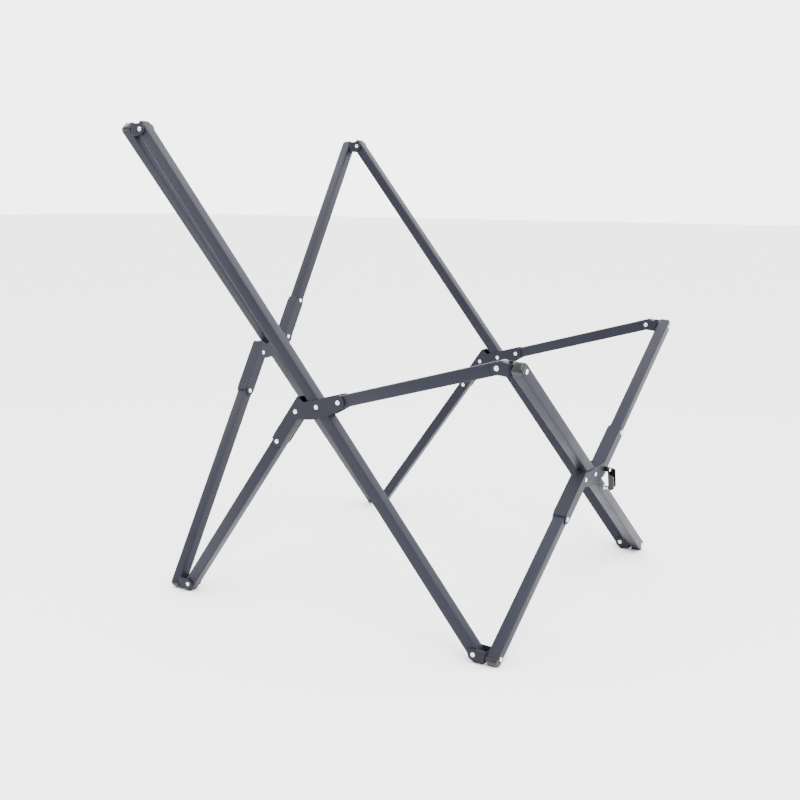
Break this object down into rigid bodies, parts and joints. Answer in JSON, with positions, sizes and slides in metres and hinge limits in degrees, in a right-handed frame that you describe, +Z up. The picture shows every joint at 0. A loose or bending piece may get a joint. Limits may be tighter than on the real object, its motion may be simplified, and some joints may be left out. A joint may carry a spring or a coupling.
{
  "type": "folding chair frame",
  "caption": "Bare folding frame of a high-back camp chair: crossed square tubes on all sides, hinged at corner brackets, with a small latch on the front.",
  "frame": {"origin": "Middle of the bounding box, on the ground that the feet stand on.", "axes": "+Z up. +Y is the tall back, -Y the low front where the latch is. +X is the far side frame and -X the near side frame."},
  "size_m": [0.6702, 0.7644, 0.8194],
  "materials": {
    "slate_paint": "satin slate grey",
    "bracket_paint": "satin slate grey",
    "rivet_steel": "bright",
    "black_plastic": "satin black"
  },
  "bodies": {
    "near_back_foot": {"near_back_foot_bracket": "bracket_paint", "near_back_foot_ear_rivet": "rivet_steel"},
    "back_z": {"back_cross_rivet": "rivet_steel", "back_z_foot_plug": "black_plastic", "back_z_foot_rivet": "rivet_steel", "back_z_lower_tube": "slate_paint", "back_z_plates": "bracket_paint", "back_z_top_plug": "black_plastic", "back_z_upper_tube": "slate_paint"},
    "back_straight": {"back_straight_foot_plug": "black_plastic", "back_straight_top_plug": "black_plastic", "back_straight_top_rivet": "rivet_steel", "back_straight_tube": "slate_paint"},
    "near_back_top": {"near_back_top_bracket": "bracket_paint"},
    "near_lower": {"near_lower_plug": "black_plastic", "near_lower_tube": "slate_paint", "near_side_plates": "bracket_paint", "near_side_rivet": "rivet_steel"},
    "near_long": {"near_long_foot_plug": "black_plastic", "near_long_top_plug": "black_plastic", "near_long_tube": "slate_paint"},
    "near_front_foot": {"near_front_foot_bracket": "bracket_paint", "near_front_foot_ear_rivet": "rivet_steel"},
    "front_z": {"front_cross_rivet": "rivet_steel", "front_z_foot_plug": "black_plastic", "front_z_foot_rivet": "rivet_steel", "front_z_lower_tube": "slate_paint", "front_z_plates": "bracket_paint", "front_z_top_plug": "black_plastic", "front_z_top_rivet": "rivet_steel", "front_z_upper_tube": "slate_paint"},
    "front_straight": {"front_straight_foot_plug": "black_plastic", "front_straight_foot_rivet": "rivet_steel", "front_straight_top_plug": "black_plastic", "front_straight_top_rivet": "rivet_steel", "front_straight_tube": "slate_paint", "latch_catch": "rivet_steel"},
    "near_front_top": {"near_front_top_bracket": "bracket_paint", "near_front_top_ear_rivet": "rivet_steel"},
    "near_arm": {"near_arm_plug": "black_plastic", "near_arm_tube": "slate_paint"},
    "far_front_foot": {"far_front_foot_bracket": "bracket_paint", "far_front_foot_ear_rivet": "rivet_steel"},
    "far_long": {"far_long_foot_plug": "black_plastic", "far_long_top_plug": "black_plastic", "far_long_tube": "slate_paint"},
    "far_lower": {"far_lower_plug": "black_plastic", "far_lower_tube": "slate_paint", "far_side_plates": "bracket_paint", "far_side_rivet": "rivet_steel"},
    "far_back_foot": {"far_back_foot_bracket": "bracket_paint", "far_back_foot_ear_rivet": "rivet_steel"},
    "far_back_top": {"far_back_top_bracket": "bracket_paint", "far_back_top_ear_rivet": "rivet_steel"},
    "far_front_top": {"far_front_top_bracket": "bracket_paint", "far_front_top_ear_rivet": "rivet_steel"},
    "far_arm": {"far_arm_plug": "black_plastic", "far_arm_tube": "slate_paint"},
    "latch": {"latch_bar": "black_plastic"}
  },
  "joints": [
    {"name": "fold", "type": "hinge", "parent": "near_back_foot", "child": "back_z", "pos_m": [-0.321, 0.31013, 0.01207], "axis": [0, -0.9971, 0.0759], "range_deg": [0, 36.73]},
    {"name": "back_cross", "type": "hinge", "parent": "back_z", "child": "back_straight", "pos_m": [0, 0.34026, 0.40772], "axis": [0, 0.9971, -0.0759], "range_deg": [-0.1, 73.55]},
    {"name": "near_back_top_base", "type": "hinge", "parent": "back_straight", "child": "near_back_top", "pos_m": [-0.321, 0.3704, 0.80337], "axis": [0, -0.9971, 0.0759], "range_deg": [-0.1, 36.83]},
    {"name": "near_back_foot_ear", "type": "hinge", "parent": "near_back_foot", "child": "near_lower", "pos_m": [-0.321, 0.27822, 0.0145], "axis": [-1, 0, 0], "range_deg": [-0.1, 40.1]},
    {"name": "near_side_cross", "type": "hinge", "parent": "near_lower", "child": "near_long", "pos_m": [-0.321, -0.01486, 0.37136], "axis": [1, 0, 0], "range_deg": [-0.1, 71.77]},
    {"name": "near_front_foot_ear", "type": "hinge", "parent": "near_long", "child": "near_front_foot", "pos_m": [-0.321, -0.30512, 0.0145], "axis": [-1, 0, 0], "range_deg": [-0.1, 39.49]},
    {"name": "near_front_foot_base", "type": "hinge", "parent": "near_front_foot", "child": "front_z", "pos_m": [-0.321, -0.33705, 0.01239], "axis": [0, -0.9978, -0.0659], "range_deg": [-0.1, 52.23]},
    {"name": "front_cross", "type": "hinge", "parent": "front_z", "child": "front_straight", "pos_m": [0, -0.35182, 0.23617], "axis": [0, 0.9978, 0.0659], "range_deg": [-0.1, 104.37]},
    {"name": "near_front_top_base", "type": "hinge", "parent": "front_straight", "child": "near_front_top", "pos_m": [-0.321, -0.3666, 0.45995], "axis": [0, -0.9978, -0.0659], "range_deg": [-0.1, 52.23]},
    {"name": "near_front_top_ear", "type": "hinge", "parent": "near_front_top", "child": "near_arm", "pos_m": [-0.321, -0.33467, 0.46205], "axis": [-1, 0, 0], "range_deg": [-0.1, 70.2]},
    {"name": "far_front_foot_base", "type": "hinge", "parent": "front_straight", "child": "far_front_foot", "pos_m": [0.321, -0.33705, 0.01239], "axis": [0, -0.9978, -0.0659], "range_deg": [-0.1, 52.23]},
    {"name": "far_front_foot_ear", "type": "hinge", "parent": "far_front_foot", "child": "far_long", "pos_m": [0.321, -0.30512, 0.0145], "axis": [1, 0, 0], "range_deg": [-0.1, 39.49]},
    {"name": "far_side_cross", "type": "hinge", "parent": "far_long", "child": "far_lower", "pos_m": [0.321, -0.01486, 0.37136], "axis": [-1, 0, 0], "range_deg": [-0.1, 71.77]},
    {"name": "far_back_foot_ear", "type": "hinge", "parent": "far_lower", "child": "far_back_foot", "pos_m": [0.321, 0.27822, 0.0145], "axis": [1, 0, 0], "range_deg": [-0.1, 40.1]},
    {"name": "far_back_top_ear", "type": "hinge", "parent": "far_long", "child": "far_back_top", "pos_m": [0.321, 0.33849, 0.8058], "axis": [-1, 0, 0], "range_deg": [-0.1, 31.77]},
    {"name": "far_front_top_base", "type": "hinge", "parent": "front_z", "child": "far_front_top", "pos_m": [0.321, -0.3666, 0.45995], "axis": [0, 0.9978, 0.0659], "range_deg": [-0.1, 52.23]},
    {"name": "far_front_top_ear", "type": "hinge", "parent": "far_front_top", "child": "far_arm", "pos_m": [0.321, -0.33467, 0.46205], "axis": [-1, 0, 0], "range_deg": [-0.1, 70.2]},
    {"name": "latch_swing", "type": "hinge", "parent": "front_z", "child": "latch", "pos_m": [0.04342, -0.35185, 0.2365], "axis": [0, -0.9978, -0.0659], "range_deg": [0, 60]}
  ],
  "couplings": [
    {"joint": "back_cross", "follows": "fold", "ratio": 2},
    {"joint": "near_back_top_base", "follows": "fold", "ratio": 1},
    {"joint": "near_back_foot_ear", "follows": "fold", "ratio": 1.089},
    {"joint": "near_side_cross", "follows": "fold", "ratio": 1.9514},
    {"joint": "near_front_foot_ear", "follows": "fold", "ratio": 1.0725},
    {"joint": "near_front_foot_base", "follows": "fold", "ratio": 1.4195},
    {"joint": "front_cross", "follows": "fold", "ratio": 2.839},
    {"joint": "near_front_top_base", "follows": "fold", "ratio": 1.4195},
    {"joint": "near_front_top_ear", "follows": "fold", "ratio": 1.9088},
    {"joint": "far_front_foot_base", "follows": "fold", "ratio": 1.4195},
    {"joint": "far_front_foot_ear", "follows": "fold", "ratio": 1.0725},
    {"joint": "far_side_cross", "follows": "fold", "ratio": 1.9514},
    {"joint": "far_back_foot_ear", "follows": "fold", "ratio": 1.089},
    {"joint": "far_back_top_ear", "follows": "fold", "ratio": 0.86237},
    {"joint": "far_front_top_base", "follows": "fold", "ratio": 1.4195},
    {"joint": "far_front_top_ear", "follows": "fold", "ratio": 1.9088}
  ]
}
